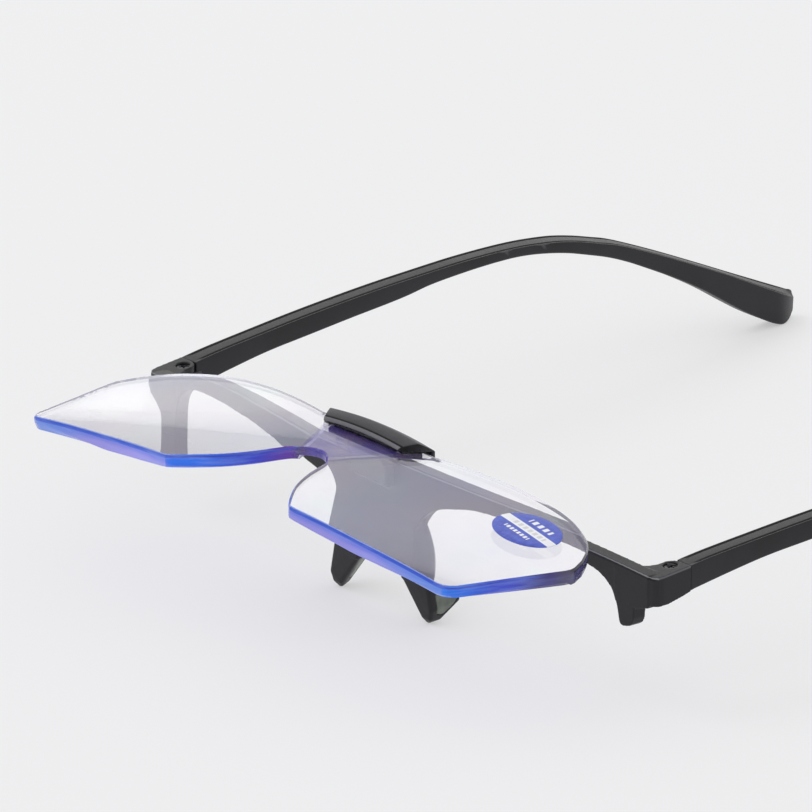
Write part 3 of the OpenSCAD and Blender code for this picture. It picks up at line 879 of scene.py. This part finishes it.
# ---- the bar over the shield ----
BAR_FRONT, BAR_REAR = 10.2, 13.8          # half lengths
BAR_MIDDLE_Y, BAR_MIDDLE_Z = -5.3, 31.6
WALL_Y, WALL_Z = -3.78, 30.12             # the rear wall that reaches down behind the web
BAR_SIDE = [(-7.62, None), (-7.66, 32.2), (-7.8, 32.72), (-8.22, 32.82), (-8.3, 32.9), (-8.26, 33.0),
            (-7.9, 33.38), (-7.82, 33.4), (-7.74, 33.34), (-7.68, 33.1), (-7.56, 33.04), (-7.46, 33.12),
            (-7.42, 33.5), (-7.3, 33.62), (-6.3, 33.9), (-5.4, 34.12), (-5.1, 34.1), (-4.0, 33.6),
            (-2.95, 33.0), (-2.62, 32.74), (-2.5, 32.5), (-2.5, WALL_Z + 0.2), (-2.62, WALL_Z),
            (WALL_Y, WALL_Z), (WALL_Y, None)]      # None is where the bar meets the shield
BAR_BOW = 1 / 192                         # the top bends down by this much times x squared
BAR_STATIONS = 61


def shield_top(x, y):
    """Height of the shield's top face over a point of the plan."""
    v = (y - SHIELD_Y) / math.cos(TILT)
    return shield_point(x, v, 0)[2]


def bar_half(y):
    return float(np.interp(y, [-8.4, -2.9, -2.5], [BAR_FRONT, BAR_REAR, BAR_REAR - 0.35]))


def bar_rings():
    """Sections from end to end: the top bends down towards both ends, and the ends are slanted in plan."""
    stations = ([(-1, 0.9), (-0.995, 0.97)] + [(t, 1.0) for t in np.linspace(-0.985, 0.985, BAR_STATIONS)]
                + [(0.995, 0.97), (1, 0.9)])
    rings = []
    for t, size in stations:
        ring = []
        for y, z in BAR_SIDE:
            x = t * bar_half(y)
            if z is None:
                z = shield_top(x, y) + 0.005
            elif z > BAR_MIDDLE_Z:
                z = BAR_MIDDLE_Z + (z - x * x * BAR_BOW - BAR_MIDDLE_Z) * size
            else:
                z = WALL_Z + 1.1 + (z - WALL_Z - 1.1) * size
            ring.append((x, BAR_MIDDLE_Y + (y - BAR_MIDDLE_Y) * (0.7 + 0.3 * size), z))
        rings.append(ring)
    return rings


bar = loft("bar_cover", bar_rings())
give(bar, CLIP_BLACK, "flip_unit", "clip_plastic", "flip_bar")
bar.data.materials.append(CLIP_SHADE)
bar.data.materials.append(CLIP_LIP_LIT)
for face in bar.data.polygons:
    centre = face.center / MM
    y, z = centre.y + SHIFT_Y, centre.z + centre.x ** 2 * BAR_BOW
    # painted shade: the bar's ends, its groove and the wall under the lip take the near-black plastic
    if abs(face.normal.x) > 0.6 or (y < -7.55 and z < 32.78) or (-7.74 < y < -7.42 and z < 33.4):
        face.material_index = 1
    # painted highlight: the lip's sloped strip takes the lighter copy of the clip plastic
    elif y < -7.8 and z > 32.84:
        face.material_index = 2

# ---- sticker: middle, half widths and thickness ----
STICKER = (47.9, -8.6, 6.95, 5.4, 0.12)


def sticker_mesh():
    cx, cy, rx, ry, thick = STICKER
    n, shares = 72, (1.0, 0.985, 0.75, 0.5, 0.25)
    outline = [(math.cos(a), math.sin(a)) for a in np.linspace(0, 2 * math.pi, n, False)]

    def layer(share, height):
        return [shield_point(cx + rx * share * x, cy + ry * share * y, -height) for x, y in outline]
    upper = [layer(1.0, 0.0), layer(1.0, thick * 0.7)] + [layer(share, thick) for share in shares[1:]]
    verts = [p for ring in upper for p in ring] + [shield_point(cx, cy, -thick)]
    faces = [quad for k in range(len(upper) - 1) for quad in band(k * n, (k + 1) * n, n)]
    last = (len(upper) - 1) * n
    faces += [(last + i, last + (i + 1) % n, last + n) for i in range(n)]
    outer = 0
    for share in shares[2:]:
        ring = len(verts)
        verts += layer(share, 0)
        faces += [quad[::-1] for quad in band(outer, ring, n)]
        outer = ring
    faces += [(outer + (i + 1) % n, outer + i, len(verts)) for i in range(n)]
    verts.append(shield_point(cx, cy, 0))
    return make("lens_sticker", verts, faces)


def sticker_material():
    """A blue oval with a white band and plain bars that stand for print."""
    n = Nodes("sticker_print")
    x, y, _ = n.parts(n.place)
    u = n.math("ADD", n.times(x, 1 / MM), -STICKER[0])
    v = n.math("ADD", n.times(y, 1 / MM), SHIFT_Y - SHIELD_Y - STICKER[1])
    v = n.math("ADD", v, n.times(u, 0.055))       # the print is turned a little

    def within(value, centre, half):
        away = n.math("ABSOLUTE", n.math("SUBTRACT", value, centre))
        return n.fade(away, half - 0.05, half + 0.05)

    def dashes(pitch, share, offset=0.0):
        saw = n.math("FRACT", n.math("ADD", n.math("DIVIDE", u, pitch), offset))
        return n.fade(n.math("ABSOLUTE", n.math("SUBTRACT", saw, 0.5)), share / 2 - 0.04, share / 2 + 0.04)
    mottle = n.noise(1.1, 4, 0.6)
    blue = n.mix(n.span(mottle, 0.3, 0.7), rgb(62, 78, 186), rgb(84, 106, 212))
    white = rgb(246, 247, 252)
    colour = n.mix(within(v, 0.25, 0.95), blue, white)
    colour = n.mix(n.times(within(v, 0.25, 0.5), dashes(1.35, 0.62), within(u, 0.2, 4.6), 0.35), colour,
                   rgb(150, 158, 160))
    colour = n.mix(n.times(within(v, 2.75, 0.62), dashes(1.5, 0.6, 0.2), within(u, 0.6, 3.0)), colour, white)
    colour = n.mix(n.times(within(v, -1.95, 0.42), dashes(0.95, 0.66, 0.4), within(u, -0.4, 3.3)), colour,
                   white)
    return n.out(n.principled(Base_Color=colour, Roughness=n.span(mottle, 0.2, 0.8, 0.35, 0.5),
                              Normal=n.bump(n.noise(2.5, 3), 0.1, 0.03), IOR=1.45))


give(sticker_mesh(), sticker_material(), "flip_unit", "sticker_print", "power_sticker")

# ---- floor, light and camera ----
FLOOR_HALF = 14.0


def lay_floor():
    bm = bmesh.new()
    bmesh.ops.create_grid(bm, x_segments=4, y_segments=4, size=FLOOR_HALF)
    floor = from_bmesh("floor", bm)
    n = Nodes("floor_white")
    tone = n.mix(n.span(n.noise(0.0004, 2), 0.3, 0.7), rgb(181, 181, 183), rgb(183, 183, 185))
    # it glows a little, so that shadows on it are faint
    floor.data.materials.append(n.out(n.principled(
        Base_Color=tone, Emission_Color=rgb(255, 255, 255), Emission_Strength=0.44, Roughness=0.9,
        Specular_IOR_Level=0.0)))


lay_floor()
sky = bpy.data.worlds.new("studio")
bpy.context.scene.world = sky
sky.use_nodes = True
background = sky.node_tree.nodes["Background"]
background.inputs["Color"].default_value = (1.0, 1.0, 1.0, 1.0)
background.inputs["Strength"].default_value = 0.79


def soft_box(name, place, target, size, power):
    light = bpy.data.lights.new(name, "AREA")
    light.shape = "RECTANGLE"
    light.size, light.size_y = size
    light.energy = power
    obj = add_object(name, light)
    obj.location = place
    obj.rotation_mode = "QUATERNION"
    obj.rotation_quaternion = (Vector(target) - Vector(place)).to_track_quat("-Z", "Y")


soft_box("key", (-1.1, -0.6, 1.7), (0, 0, 0), (1.0, 1.0), 4.0)
soft_box("back", (-2.6, 2.1, 1.3), (0, 0, 0.6), (4.4, 3.6), 20.0)

CAMERA_PLACE = Vector((3.01425, -2.48588, 1.38355))
CAMERA_TURN, CAMERA_DOWN = math.radians(51.114), math.radians(19.195)
camera_data = bpy.data.cameras.new("camera")
camera_data.sensor_width = 36.0
camera_data.lens = 1050.9
camera_data.clip_start, camera_data.clip_end = 0.1, 100
camera = add_object("camera", camera_data)
camera.location = CAMERA_PLACE
camera.rotation_euler = (math.pi / 2 - CAMERA_DOWN, 0, CAMERA_TURN)
bpy.context.scene.camera = camera
bpy.context.scene.view_settings.view_transform = "Standard"
bpy.context.scene.view_settings.look = "None"
